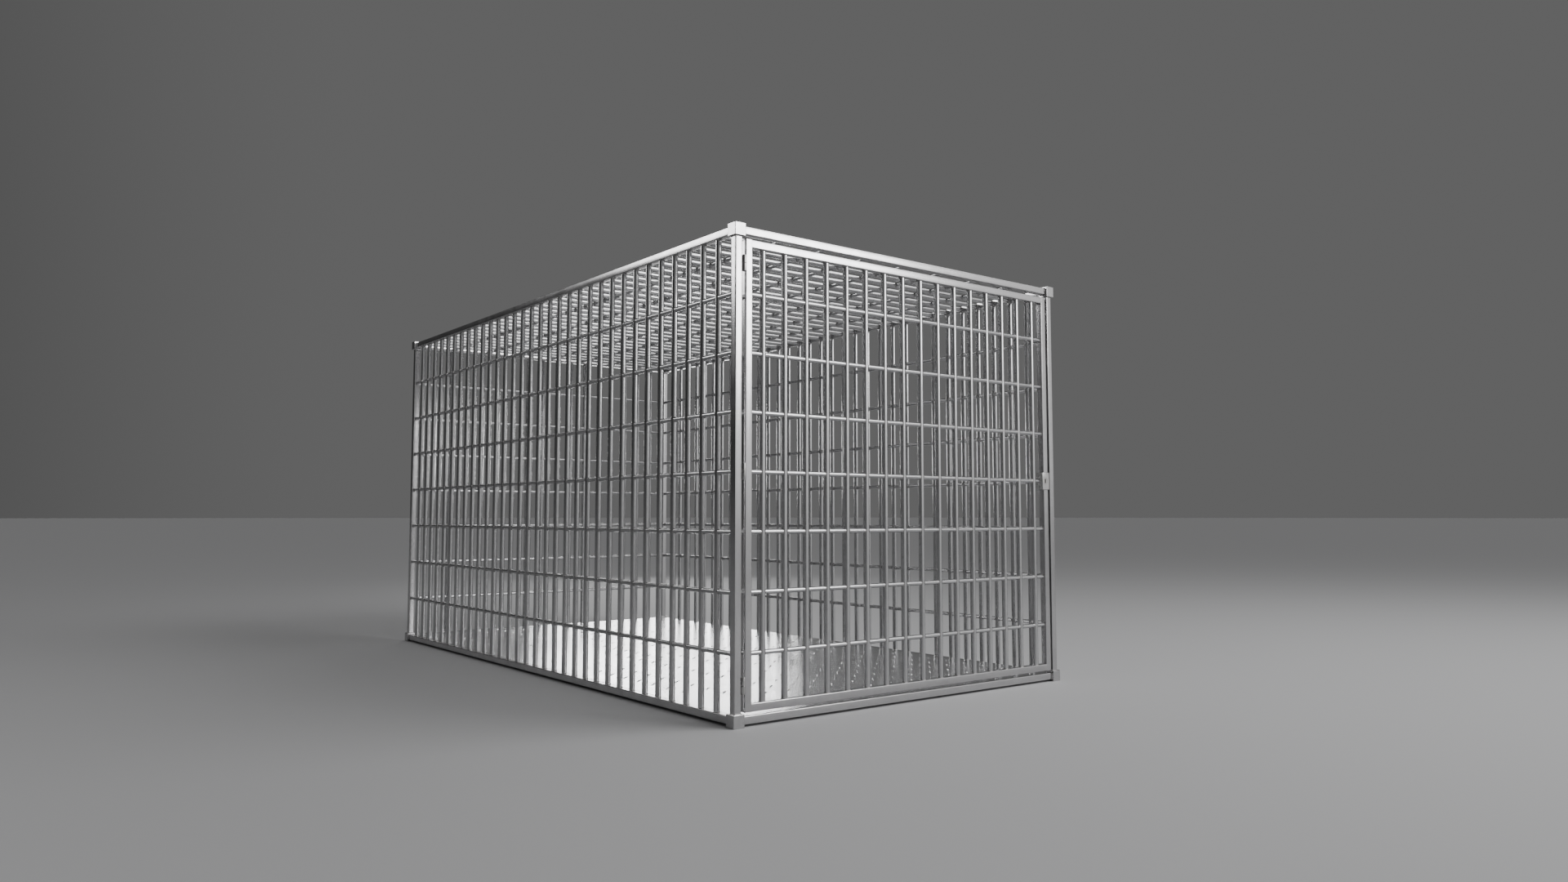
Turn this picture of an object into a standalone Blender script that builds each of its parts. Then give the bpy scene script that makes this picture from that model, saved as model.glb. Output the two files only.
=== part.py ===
"""Kennel cage: a welded steel cage with a barred door over its whole front.

The door hangs on three weld-on barrel hinges and has a key lock let into its latch stile.
Frame: +Z up, +Y along the length, the door faces -Y and its hinges are at -X, the left side.
The origin is at the bottom centre of the cage. Units are metres.
"""
import math

import bmesh
import bpy
from mathutils import Matrix, Vector

# ---- cage frame ---------------------------------------------------------------------------------
CAGE_WIDTH = 1.206
CAGE_LENGTH = 2.262
CAGE_HEIGHT = 1.200
BLOCK = 0.032                # corner block
BLOCK_BEVEL = 0.0012
SPIGOT_REACH = 0.024         # spigot beyond the block
TUBE = 0.020                 # square tube
TUBE_WALL = 0.0015
TUBE_CORNER = 0.0025         # outer corner radius
CORNER_STEPS = 2
GAP = 0.0003                 # between pieces that touch
MERGE = 0.00001              # points of one mesh closer than this are one point
SHARP_ANGLE = math.radians(40)

# ---- grilles ------------------------------------------------------------------------------------
BAR_RADIUS = 0.008
ROD_RADIUS = 0.006
BAR_SIDES = 6
ROD_DEPTH = 0.0082           # within a bar's flat side, so each rod enters a bar through one face
SIDE_BARS = 32
END_BARS = 16
CROSS_RODS = 7

# ---- floor --------------------------------------------------------------------------------------
PLATE = 0.003
BEARER = 0.016
BEARER_CORNER = 0.002
BEARER_PITCH = 0.55

# ---- door ---------------------------------------------------------------------------------------
HINGE_SIDE_GAP = 0.0105
LATCH_SIDE_GAP = 0.0085
TOP_GAP = 0.010
BOTTOM_GAP = 0.0075
CAP = 0.002

# ---- hinges -------------------------------------------------------------------------------------
BARREL_RADIUS = 0.0055
BARREL_LENGTH = 0.040
BARREL_EDGE = 0.0008
BARREL_PROUD = 0.0005        # hinge axis in front of the posts' front face
HINGE_SPACING = 0.503
PIN_RADIUS = 0.003
PIN_LENGTH = 0.030
WASHER = 0.001
WASHER_RADIUS = 0.0053
ROUND_STEPS = 16

# ---- lock: spans are depths behind the posts' front face ----------------------------------------
LOCK_WIDTH = 0.030
LOCK_HEIGHT = 0.051
LOCK_DEPTH = 0.022
LOCK_WALL = 0.002
LOCK_OVERHANG = 0.0015       # past the latch stile, towards the post
FACE_PROUD = 0.003
FACE_BEVEL = 0.0006
PLUG_FROM_EDGE = 0.0127
PLUG_RADIUS = 0.0085
PLUG_SPAN = (-0.0028, 0.0070)
KEYWAY_WIDTH = 0.0046
KEYWAY_HEIGHT = 0.0137
KEYWAY_DEPTH = 0.0083
SLEEVE_WALL = 0.0015
SLEEVE_SPAN = (0.0, 0.0068)
LOCK_STEPS = 24
CAM_SPAN = (0.0073, 0.0093)
CAM_WIDTH = 0.005
CAM_TAIL = 0.004
CAM_TIP = 0.012
PEG_RADIUS = 0.00125
PEG_SPAN = (0.0088, 0.0160)
PEG_PLAY = 0.0007
PEG_STEPS = 12
BOLT_SPAN = (0.0105, 0.0165)
BOLT_HEIGHT = 0.010
BOLT_LENGTH = 0.0266
BOLT_THROW = 0.014
BOLT_WAY_OVERRUN = 0.002     # of the bolt's passage, past the walls it goes through
FORK_WIDTH = 0.0066
FORK_HEIGHT = 0.0135         # above the bolt's middle
STRIKE = 0.0012
STRIKE_HEIGHT = 0.044
STRIKE_SPAN = (0.0030, 0.0170)
RIVET_RADIUS = 0.0018
RIVET_OFFSET = 0.017
RIVET_HEAD = 0.0010
RIVET_TAIL = 0.0030

# ---- places that follow from the sizes ----------------------------------------------------------
POST_X = CAGE_WIDTH / 2 - BLOCK / 2
POST_Y = CAGE_LENGTH / 2 - BLOCK / 2
LOW_Z = BLOCK / 2
HIGH_Z = CAGE_HEIGHT - BLOCK / 2
MID_Z = CAGE_HEIGHT / 2
INNER_X = POST_X - TUBE / 2
INNER_Y = POST_Y - TUBE / 2
FRONT_Y = -POST_Y - TUBE / 2
FLOOR_Z = LOW_Z + TUBE / 2
CEILING_Z = HIGH_Z - TUBE / 2

DOOR_LEFT = -INNER_X + HINGE_SIDE_GAP
DOOR_RIGHT = INNER_X - LATCH_SIDE_GAP
DOOR_LOW = FLOOR_Z + BOTTOM_GAP
DOOR_HIGH = CEILING_Z - TOP_GAP
HINGE_X = -INNER_X + HINGE_SIDE_GAP / 2
HINGE_Y = FRONT_Y - BARREL_PROUD

LOCK_RIGHT = DOOR_RIGHT + LOCK_OVERHANG
LOCK_LEFT = LOCK_RIGHT - LOCK_WIDTH
LOCK_LOW = MID_Z - LOCK_HEIGHT / 2
LOCK_HIGH = MID_Z + LOCK_HEIGHT / 2
PLUG_X = LOCK_LEFT + PLUG_FROM_EDGE
CAM_ANGLE = math.pi / 4                      # drawn cam, left of upright
CAM_RADIUS = BOLT_THROW / (2 * math.sin(CAM_ANGLE))
PEG_X = PLUG_X - CAM_RADIUS * math.sin(CAM_ANGLE)
PEG_Z = MID_Z + CAM_RADIUS * math.cos(CAM_ANGLE)
BOLT_X = PEG_X - FORK_WIDTH / 2

# ---- finishes: colour, roughness, metallic ------------------------------------------------------
FRAME_STEEL = ((0.55, 0.55, 0.55), 0.38, 1.0)
BAR_STEEL = ((0.60, 0.60, 0.60), 0.30, 1.0)
FLOOR_STEEL = ((0.66, 0.66, 0.67), 0.34, 1.0)
HINGE_STEEL = ((0.50, 0.50, 0.50), 0.35, 1.0)
LOCK_STEEL = ((0.60, 0.60, 0.60), 0.32, 1.0)
PLUG_NICKEL = ((0.62, 0.60, 0.57), 0.30, 1.0)

TO_X = Matrix.Rotation(math.pi / 2, 4, "Y")
TO_Y = Matrix.Rotation(-math.pi / 2, 4, "X")
TO_Z = Matrix.Identity(4)


def clear_scene():
    for piece in list(bpy.data.objects):
        bpy.data.objects.remove(piece, do_unlink=True)


def new_collection(name):
    collection = bpy.data.collections.new(name)
    bpy.context.scene.collection.children.link(collection)
    return collection


clear_scene()
PIECES = new_collection("kennel_cage")
CUTTERS = new_collection("kennel_cage_cutters")


def new_material(name, finish):
    colour, roughness, metallic = finish
    material = bpy.data.materials.new(name + "_finish")
    material.use_nodes = True
    shader = material.node_tree.nodes["Principled BSDF"]
    shader.inputs["Base Color"].default_value = (*colour, 1.0)
    shader.inputs["Roughness"].default_value = roughness
    shader.inputs["Metallic"].default_value = metallic
    return material


def add_piece(name, mesh, finish, place):
    """A piece of the cage, in its own object and material."""
    mesh.name = name
    mesh.materials.clear()
    mesh.materials.append(new_material(name, finish))
    piece = bpy.data.objects.new(name, mesh)
    PIECES.objects.link(piece)
    piece.matrix_world = place
    return piece


def add_cutter(name, mesh, place):
    cutter = bpy.data.objects.new(name, mesh)
    CUTTERS.objects.link(cutter)
    cutter.matrix_world = place
    cutter.hide_render = True
    cutter.display_type = "WIRE"
    return cutter


def apply_boolean(piece, tool, operation):
    modifier = piece.modifiers.new(tool.name, "BOOLEAN")
    modifier.operation = operation
    modifier.solver = "EXACT"
    modifier.object = tool


def finish_mesh(name, shape):
    mesh = bpy.data.meshes.new(name)
    shape.to_mesh(mesh)
    shape.free()
    return mesh


def box_mesh(size):
    shape = bmesh.new()
    bmesh.ops.create_cube(shape, size=1.0)
    bmesh.ops.scale(shape, vec=size, verts=shape.verts)
    return finish_mesh("box", shape)


def round_mesh(radius, length, steps):
    shape = bmesh.new()
    bmesh.ops.create_cone(
        shape, cap_ends=True, segments=steps, radius1=radius, radius2=radius, depth=length)
    mesh = finish_mesh("round", shape)
    mesh.shade_smooth()
    mesh.set_sharp_from_angle(angle=SHARP_ANGLE)
    return mesh


def between(low, high):
    """Size and placement of a box from its two corners."""
    low = Vector(low)
    high = Vector(high)
    return high - low, Matrix.Translation((low + high) / 2)


def box(name, low, high, finish):
    size, place = between(low, high)
    return add_piece(name, box_mesh(size), finish, place)


def cutter_box(name, low, high):
    size, place = between(low, high)
    return add_cutter(name, box_mesh(size), place)


def evaluated_mesh(source):
    bpy.context.view_layer.update()
    graph = bpy.context.evaluated_depsgraph_get()
    return bpy.data.meshes.new_from_object(source.evaluated_get(graph))


def extruded(outlines, length):
    """A mesh of flat outlines, filled and extruded along Z; an outline inside another is its hole."""
    curve = bpy.data.curves.new("outline", "CURVE")
    curve.dimensions = "2D"
    curve.fill_mode = "BOTH"
    curve.extrude = length / 2
    for outline in outlines:
        spline = curve.splines.new("POLY")
        spline.points.add(len(outline) - 1)
        for point, (x, y) in zip(spline.points, outline):
            point.co = (x, y, 0.0, 1.0)
        spline.use_cyclic_u = True
    guide = bpy.data.objects.new("outline", curve)
    CUTTERS.objects.link(guide)
    mesh = evaluated_mesh(guide)
    bpy.data.objects.remove(guide, do_unlink=True)
    shape = bmesh.new()
    shape.from_mesh(mesh)
    bmesh.ops.remove_doubles(shape, verts=shape.verts, dist=MERGE)
    bmesh.ops.recalc_face_normals(shape, faces=shape.faces)
    shape.to_mesh(mesh)
    shape.free()
    return mesh


def rectangle(width, height):
    x = width / 2
    y = height / 2
    return [(x, y), (-x, y), (-x, -y), (x, -y)]


def rounded_square(side, radius):
    centre = side / 2 - radius
    points = []
    for quarter in range(4):
        towards = math.radians(45 + 90 * quarter)
        centre_x = math.copysign(centre, math.cos(towards))
        centre_y = math.copysign(centre, math.sin(towards))
        for step in range(CORNER_STEPS + 1):
            angle = math.radians(90 * (quarter + step / CORNER_STEPS))
            points.append((centre_x + radius * math.cos(angle), centre_y + radius * math.sin(angle)))
    return points


def tube(name, start, end, turn, side=TUBE, corner=TUBE_CORNER):
    """A square tube, open at both ends."""
    start = Vector(start)
    end = Vector(end)
    outlines = [rounded_square(side, corner), rectangle(side - 2 * TUBE_WALL, side - 2 * TUBE_WALL)]
    mesh = extruded(outlines, (end - start).length)
    return add_piece(name, mesh, FRAME_STEEL, Matrix.Translation((start + end) / 2) @ turn)


def turned_mesh(profile):
    """A profile of (radius, height) points that runs down its outer side."""
    mesh = bpy.data.meshes.new("profile")
    points = [(radius, 0.0, height) for radius, height in profile]
    edges = [(index, index + 1) for index in range(len(points) - 1)]
    mesh.from_pydata(points, edges, [])
    return mesh


def turned(name, profile, finish, place, steps):
    piece = add_piece(name, turned_mesh(profile), finish, place)
    screw = piece.modifiers.new("turn", "SCREW")
    screw.axis = "Z"
    screw.steps = steps
    screw.render_steps = steps
    screw.use_merge_vertices = True
    screw.merge_threshold = MERGE
    return piece


# ---- cage frame ---------------------------------------------------------------------------------
def corner_block_mesh():
    """A cube with bevelled edges and a square spigot on its +X, +Y and +Z sides."""
    blank = add_cutter("block_blank", box_mesh((BLOCK, BLOCK, BLOCK)), Matrix.Identity(4))
    edges = blank.modifiers.new("edges", "BEVEL")
    edges.width = BLOCK_BEVEL
    edges.segments = 1
    spigot = TUBE - 2 * TUBE_WALL - 2 * GAP
    reach = BLOCK / 2 + SPIGOT_REACH
    for axis, turn in (("x", TO_X), ("y", TO_Y), ("z", TO_Z)):
        place = turn @ Matrix.Translation((0, 0, reach / 2))
        tool = add_cutter("spigot_" + axis, box_mesh((spigot, spigot, reach)), place)
        apply_boolean(blank, tool, "UNION")
    return evaluated_mesh(blank)


def corner_blocks():
    mesh = corner_block_mesh()
    over = Matrix.Rotation(math.pi, 4, "X")
    quarters = (("front_left", -1, -1), ("front_right", 1, -1), ("back_right", 1, 1), ("back_left", -1, 1))
    for quarter, (corner, side_x, side_y) in enumerate(quarters):
        place = Matrix.Translation((side_x * POST_X, side_y * POST_Y, LOW_Z))
        turn = Matrix.Rotation(math.pi / 2 * quarter, 4, "Z")
        add_piece("corner_block_bottom_" + corner, mesh.copy(), FRAME_STEEL, place @ turn)
        place = Matrix.Translation((side_x * POST_X, side_y * POST_Y, HIGH_Z))
        turn = Matrix.Rotation(math.pi / 2 * (quarter + 1), 4, "Z")
        add_piece("corner_block_top_" + corner, mesh.copy(), FRAME_STEEL, place @ turn @ over)


def frame_tubes():
    low = BLOCK + GAP
    high = CAGE_HEIGHT - BLOCK - GAP
    end_x = POST_X - BLOCK / 2 - GAP
    end_y = POST_Y - BLOCK / 2 - GAP
    for row, y in (("front", -POST_Y), ("back", POST_Y)):
        for side, x in (("left", -POST_X), ("right", POST_X)):
            tube("post_" + row + "_" + side, (x, y, low), (x, y, high), TO_Z)
    for level, z in (("bottom", LOW_Z), ("top", HIGH_Z)):
        for row, y in (("front", -POST_Y), ("back", POST_Y)):
            tube(level + "_rail_" + row, (-end_x, y, z), (end_x, y, z), TO_X)
        for side, x in (("left", -POST_X), ("right", POST_X)):
            tube(level + "_rail_" + side, (x, -end_y, z), (x, end_y, z), TO_Y)


# ---- grilles ------------------------------------------------------------------------------------
def even_stops(reach, count):
    """Centres of bars spread evenly between -reach and reach."""
    return [reach * (2 * number / (count + 1) - 1) for number in range(1, count + 1)]


def bar_outline(centre):
    """A hexagon with a round bar's area, and flats that face the cross rods."""
    step = 2 * math.pi / BAR_SIDES
    across = BAR_RADIUS * math.sqrt(step / math.sin(step))
    angles = [step * (corner + 0.5) for corner in range(BAR_SIDES)]
    return [(centre + across * math.cos(angle), across * math.sin(angle)) for angle in angles]


def rod_outline(centre):
    """A rectangle as high as the rod, and shallow enough to enter a bar through its flat side."""
    return [(centre + x, y) for x, y in rectangle(2 * ROD_RADIUS, ROD_DEPTH)]


def grille(name, bar_stops, bar_ends, rod_stops, rod_ends, place, short_rod_end=None):
    """Bars along local Z with cross rods through them along local X, joined at every crossing.

    The middle rod may stop short of the others, at short_rod_end.
    """
    middle = len(rod_stops) // 2
    groups = [("rods", rod_stops, rod_ends[1])]
    if short_rod_end is not None:
        groups = [
            ("rods", rod_stops[:middle] + rod_stops[middle + 1:], rod_ends[1]),
            ("short_rod", rod_stops[middle:middle + 1], short_rod_end)]
    mesh = extruded([bar_outline(stop) for stop in bar_stops], bar_ends[1] - bar_ends[0])
    mesh.transform(Matrix.Translation((0, 0, (bar_ends[0] + bar_ends[1]) / 2)))
    piece = add_piece(name, mesh, BAR_STEEL, place)
    for label, stops, end in groups:
        mesh = extruded([rod_outline(-stop) for stop in stops], end - rod_ends[0])
        mesh.transform(Matrix.Translation(((rod_ends[0] + end) / 2, 0, 0)) @ TO_X)
        apply_boolean(piece, add_cutter(name + "_" + label, mesh, place), "UNION")
    return piece


def cage_grilles():
    half_height = (CEILING_Z - FLOOR_Z) / 2
    bar_ends = (-half_height + GAP, half_height - GAP)
    rows = even_stops(half_height, CROSS_RODS)
    side_bars = even_stops(INNER_Y, SIDE_BARS)
    end_bars = even_stops(INNER_X, END_BARS)
    side_ends = (-INNER_Y + GAP, INNER_Y - GAP)
    end_ends = (-INNER_X + GAP, INNER_X - GAP)
    left = Matrix.Translation((-POST_X, 0, MID_Z)) @ Matrix.Rotation(-math.pi / 2, 4, "Z")
    right = Matrix.Translation((POST_X, 0, MID_Z)) @ Matrix.Rotation(math.pi / 2, 4, "Z")
    back = Matrix.Translation((0, POST_Y, MID_Z)) @ Matrix.Rotation(math.pi, 4, "Z")
    roof_turn = Matrix.Rotation(math.pi / 2, 4, "Z") @ Matrix.Rotation(-math.pi / 2, 4, "X")
    roof = Matrix.Translation((0, 0, HIGH_Z)) @ roof_turn
    grille("left_grille", side_bars, bar_ends, rows, side_ends, left)
    grille("right_grille", side_bars, bar_ends, rows, side_ends, right)
    grille("back_grille", end_bars, bar_ends, rows, end_ends, back)
    grille("roof_grille", side_bars, end_ends, even_stops(INNER_X, CROSS_RODS), side_ends, roof)


# ---- floor --------------------------------------------------------------------------------------
def floor():
    """A plate level with the bottom rails' tops, notched round the corner blocks, on three bearers."""
    wide = INNER_X - GAP
    long = INNER_Y - GAP
    notch_x = POST_X - BLOCK / 2 - GAP
    notch_y = POST_Y - BLOCK / 2 - GAP
    corner = [(wide, notch_y), (notch_x, notch_y), (notch_x, long)]
    mirrored = [(-x, y) for x, y in reversed(corner)]
    outline = corner + mirrored + [(-x, -y) for x, y in corner] + [(-x, -y) for x, y in mirrored]
    place = Matrix.Translation((0, 0, FLOOR_Z - PLATE / 2))
    add_piece("floor_plate", extruded([outline], PLATE), FLOOR_STEEL, place)
    z = FLOOR_Z - PLATE - GAP - BEARER / 2
    for row, y in (("front", -BEARER_PITCH), ("middle", 0.0), ("back", BEARER_PITCH)):
        tube("floor_bearer_" + row, (-wide, y, z), (wide, y, z), TO_X, BEARER, BEARER_CORNER)


# ---- door ---------------------------------------------------------------------------------------
def door_frame():
    """Rails between full-height stiles; the latch stile is in two lengths, above and below the lock."""
    y = -POST_Y
    hinge_x = DOOR_LEFT + TUBE / 2
    latch_x = DOOR_RIGHT - TUBE / 2
    pieces = [
        tube("door_hinge_stile", (hinge_x, y, DOOR_LOW), (hinge_x, y, DOOR_HIGH), TO_Z),
        tube("door_latch_stile_lower", (latch_x, y, DOOR_LOW), (latch_x, y, LOCK_LOW - GAP), TO_Z),
        tube("door_latch_stile_upper", (latch_x, y, LOCK_HIGH + GAP), (latch_x, y, DOOR_HIGH), TO_Z)]
    start = DOOR_LEFT + TUBE + GAP
    end = DOOR_RIGHT - TUBE - GAP
    for level, z in (("bottom", DOOR_LOW + TUBE / 2), ("top", DOOR_HIGH - TUBE / 2)):
        pieces.append(tube("door_" + level + "_rail", (start, y, z), (end, y, z), TO_X))
    cap = TUBE / 2 - TUBE_WALL - GAP
    for side, x in (("hinge", hinge_x), ("latch", latch_x)):
        for level, low in (("bottom", DOOR_LOW), ("top", DOOR_HIGH - CAP)):
            name = "door_" + side + "_stile_cap_" + level
            pieces.append(box(name, (x - cap, y - cap, low), (x + cap, y + cap, low + CAP), FRAME_STEEL))
    return pieces


def door_grille():
    half_height = (CEILING_Z - FLOOR_Z) / 2
    low = DOOR_LOW + TUBE + GAP - MID_Z
    high = DOOR_HIGH - TUBE - GAP - MID_Z
    ends = (DOOR_LEFT + TUBE + GAP, DOOR_RIGHT - TUBE - GAP)
    place = Matrix.Translation((0, -POST_Y, MID_Z))
    bars = even_stops(INNER_X, END_BARS)
    rows = even_stops(half_height, CROSS_RODS)
    return grille("door_grille", bars, (low, high), rows, ends, place, LOCK_LEFT - GAP)


def hinges():
    """Barrel hinges: a lower knuckle and its pin on the post, a washer, an upper knuckle on the door."""
    half = BARREL_LENGTH / 2
    shoulder = half - BARREL_EDGE
    rim = BARREL_RADIUS - BARREL_EDGE
    inner = WASHER / 2 + GAP
    bore = PIN_RADIUS + GAP
    reach = PIN_LENGTH / 2
    blind = reach + GAP
    thick = WASHER / 2
    door_profile = [
        (0, half), (rim, half), (BARREL_RADIUS, shoulder), (BARREL_RADIUS, inner),
        (bore, inner), (bore, blind), (0, blind)]
    post_profile = [(radius, -height) for radius, height in reversed(door_profile)]
    pin_profile = [(0, reach), (PIN_RADIUS, reach), (PIN_RADIUS, -reach), (0, -reach)]
    washer_profile = [
        (bore, thick), (WASHER_RADIUS, thick), (WASHER_RADIUS, -thick), (bore, -thick), (bore, thick)]
    door_knuckles = []
    for level, offset in (("bottom", -HINGE_SPACING), ("middle", 0.0), ("top", HINGE_SPACING)):
        place = Matrix.Translation((HINGE_X, HINGE_Y, MID_Z + offset))
        stem = "hinge_" + level
        turned(stem + "_post_knuckle", post_profile, HINGE_STEEL, place, ROUND_STEPS)
        turned(stem + "_pin", pin_profile, HINGE_STEEL, place, ROUND_STEPS)
        turned(stem + "_washer", washer_profile, HINGE_STEEL, place, ROUND_STEPS)
        knuckle = turned(stem + "_door_knuckle", door_profile, HINGE_STEEL, place, ROUND_STEPS)
        door_knuckles.append(knuckle)
    return door_knuckles


# ---- lock ---------------------------------------------------------------------------------------
def along_depth(span):
    """Placement on the plug's axis of a piece that lies along Y over a span of depths."""
    return Matrix.Translation((PLUG_X, FRONT_Y + (span[0] + span[1]) / 2, MID_Z)) @ TO_Y


def lock_housing(bolt_way):
    case = box(
        "lock_case",
        (LOCK_LEFT, FRONT_Y, LOCK_LOW),
        (LOCK_RIGHT, FRONT_Y + LOCK_DEPTH, LOCK_HIGH), LOCK_STEEL)
    cavity = cutter_box(
        "lock_cavity",
        (LOCK_LEFT + LOCK_WALL, FRONT_Y - LOCK_WALL, LOCK_LOW + LOCK_WALL),
        (LOCK_RIGHT - LOCK_WALL, FRONT_Y + LOCK_DEPTH - LOCK_WALL, LOCK_HIGH - LOCK_WALL))
    apply_boolean(case, cavity, "DIFFERENCE")
    apply_boolean(case, bolt_way, "DIFFERENCE")
    face = box(
        "lock_front_plate",
        (LOCK_LEFT, FRONT_Y - FACE_PROUD, LOCK_LOW),
        (LOCK_RIGHT, FRONT_Y - GAP, LOCK_HIGH), LOCK_STEEL)
    edges = face.modifiers.new("edges", "BEVEL")
    edges.width = FACE_BEVEL
    edges.segments = 1
    hole_span = (-2 * FACE_PROUD, FACE_PROUD)
    hole_mesh = round_mesh(PLUG_RADIUS + GAP, hole_span[1] - hole_span[0], LOCK_STEPS)
    apply_boolean(face, add_cutter("plug_hole", hole_mesh, along_depth(hole_span)), "DIFFERENCE")
    inside = PLUG_RADIUS + GAP
    outside = inside + SLEEVE_WALL
    half = (SLEEVE_SPAN[1] - SLEEVE_SPAN[0]) / 2
    profile = [(inside, half), (outside, half), (outside, -half), (inside, -half), (inside, half)]
    sleeve = turned("lock_barrel", profile, LOCK_STEEL, along_depth(SLEEVE_SPAN), LOCK_STEPS)
    return [case, face, sleeve]


def lock_plug():
    length = PLUG_SPAN[1] - PLUG_SPAN[0]
    mesh = round_mesh(PLUG_RADIUS, length, LOCK_STEPS)
    plug = add_piece("lock_plug", mesh, PLUG_NICKEL, along_depth(PLUG_SPAN))
    front = FRONT_Y + PLUG_SPAN[0]
    keyway = cutter_box(
        "keyway",
        (PLUG_X - KEYWAY_WIDTH / 2, front - KEYWAY_DEPTH, MID_Z - KEYWAY_HEIGHT / 2),
        (PLUG_X + KEYWAY_WIDTH / 2, front + KEYWAY_DEPTH, MID_Z + KEYWAY_HEIGHT / 2))
    apply_boolean(plug, keyway, "DIFFERENCE")
    return plug


def lock_cam():
    """A flat arm behind the plug; its peg, riveted in, drives the bolt's fork."""
    size, centre = between(
        (-CAM_WIDTH / 2, CAM_SPAN[0], -CAM_TAIL), (CAM_WIDTH / 2, CAM_SPAN[1], CAM_TIP))
    axis = Matrix.Translation((PLUG_X, FRONT_Y, MID_Z)) @ Matrix.Rotation(-CAM_ANGLE, 4, "Y")
    cam = add_piece("lock_cam", box_mesh(size), LOCK_STEEL, axis @ centre)
    peg_mesh = round_mesh(PEG_RADIUS, PEG_SPAN[1] - PEG_SPAN[0], PEG_STEPS)
    middle = FRONT_Y + (PEG_SPAN[0] + PEG_SPAN[1]) / 2
    peg = add_cutter("cam_peg", peg_mesh, Matrix.Translation((PEG_X, middle, PEG_Z)) @ TO_Y)
    apply_boolean(cam, peg, "UNION")
    return cam


def lock_bolt():
    """The drawn bolt, with a fork above it round the cam's peg."""
    half = BOLT_HEIGHT / 2
    slot_low = FORK_WIDTH / 2 - PEG_RADIUS - PEG_PLAY
    slot_high = FORK_WIDTH / 2 + PEG_RADIUS + PEG_PLAY
    outline = [
        (0, -half), (BOLT_LENGTH, -half), (BOLT_LENGTH, half), (FORK_WIDTH, half),
        (FORK_WIDTH, FORK_HEIGHT), (slot_high, FORK_HEIGHT), (slot_high, half), (slot_low, half),
        (slot_low, FORK_HEIGHT), (0, FORK_HEIGHT)]
    middle = FRONT_Y + (BOLT_SPAN[0] + BOLT_SPAN[1]) / 2
    place = Matrix.Translation((BOLT_X, middle, MID_Z)) @ Matrix.Rotation(math.pi / 2, 4, "X")
    return add_piece("lock_bolt", extruded([outline], BOLT_SPAN[1] - BOLT_SPAN[0]), LOCK_STEEL, place)


def strike(bolt_way):
    """A plate on the latch post, round the hole that the bolt enters, on two rivets."""
    face = INNER_X - GAP
    plate = box(
        "strike_plate",
        (face - STRIKE, FRONT_Y + STRIKE_SPAN[0], MID_Z - STRIKE_HEIGHT / 2),
        (face, FRONT_Y + STRIKE_SPAN[1], MID_Z + STRIKE_HEIGHT / 2), LOCK_STEEL)
    post = bpy.data.objects["post_front_right"]
    apply_boolean(plate, bolt_way, "DIFFERENCE")
    apply_boolean(post, bolt_way, "DIFFERENCE")
    low = face - STRIKE - RIVET_HEAD
    high = INNER_X + RIVET_TAIL
    hole_length = high - low + 2 * GAP
    for level, offset in (("lower", -RIVET_OFFSET), ("upper", RIVET_OFFSET)):
        middle = Vector(((low + high) / 2, -POST_Y, MID_Z + offset))
        place = Matrix.Translation(middle) @ TO_X
        hole_mesh = round_mesh(RIVET_RADIUS + GAP, hole_length, PEG_STEPS)
        hole = add_cutter("rivet_hole_" + level, hole_mesh, place)
        apply_boolean(plate, hole, "DIFFERENCE")
        apply_boolean(post, hole, "DIFFERENCE")
        rivet_mesh = round_mesh(RIVET_RADIUS, high - low, PEG_STEPS)
        add_piece("strike_rivet_" + level, rivet_mesh, LOCK_STEEL, place)


# ---- pivots -------------------------------------------------------------------------------------
def pivot(name, location, parent=None):
    empty = bpy.data.objects.new(name, None)
    PIECES.objects.link(empty)
    empty.location = location
    bpy.context.view_layer.update()
    if parent is not None:
        hang(empty, parent)
    return empty


def hang(piece, parent):
    """Parent a piece and keep it where it is."""
    piece.parent = parent
    piece.matrix_parent_inverse = parent.matrix_world.inverted()
    bpy.context.view_layer.update()


corner_blocks()
frame_tubes()
cage_grilles()
floor()
door_pieces = door_frame() + [door_grille()] + hinges()
BOLT_WAY = cutter_box(
    "bolt_way",
    (LOCK_RIGHT - LOCK_WALL - BOLT_WAY_OVERRUN, FRONT_Y + BOLT_SPAN[0] - GAP, MID_Z - BOLT_HEIGHT / 2 - GAP),
    (INNER_X + TUBE_WALL + BOLT_WAY_OVERRUN, FRONT_Y + BOLT_SPAN[1] + GAP, MID_Z + BOLT_HEIGHT / 2 + GAP))
door_pieces += lock_housing(BOLT_WAY)
strike(BOLT_WAY)
bolt = lock_bolt()
turning = [lock_plug(), lock_cam()]

door_pivot = pivot("door_pivot", (HINGE_X, HINGE_Y, MID_Z))
lock_pivot = pivot("lock_pivot", (PLUG_X, FRONT_Y, MID_Z), door_pivot)
for moving in door_pieces + [bolt]:
    hang(moving, door_pivot)
for moving in turning:
    hang(moving, lock_pivot)
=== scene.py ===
"""The kennel cage's looks: round welded bars and rods, rounded tubes, raised lugs, satin steel.

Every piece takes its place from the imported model's boxes. Units are metres.
"""

import math

import bmesh
import bpy
from mathutils import Matrix, Vector


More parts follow.
